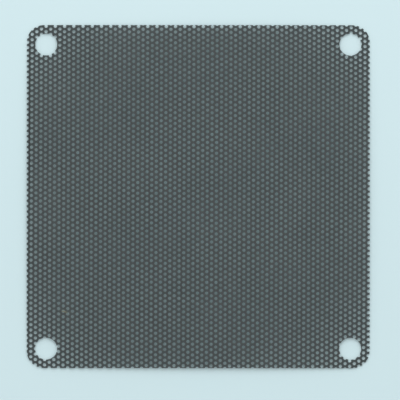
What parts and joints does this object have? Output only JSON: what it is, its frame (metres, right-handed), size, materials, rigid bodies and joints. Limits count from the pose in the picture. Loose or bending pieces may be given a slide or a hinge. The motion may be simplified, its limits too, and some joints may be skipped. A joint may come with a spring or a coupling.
{
  "type": "fan dust filter",
  "caption": "Thin square of perforated dark grey plastic film with rounded corners and a round screw hole in each corner, fixed over a fan's intake to keep dust out.",
  "frame": {"origin": "centre of the sheet, on the face that lies against the fan", "axes": "+Z out of the sheet, away from the fan; +X and +Y along its two edges, with the columns of holes running nearly along Y"},
  "size_m": [0.0806, 0.0806, 0.0003],
  "materials": {
    "pvc_film": "satin dark grey film"
  },
  "bodies": {
    "root": {"filter_sheet": "pvc_film"}
  },
  "joints": []
}
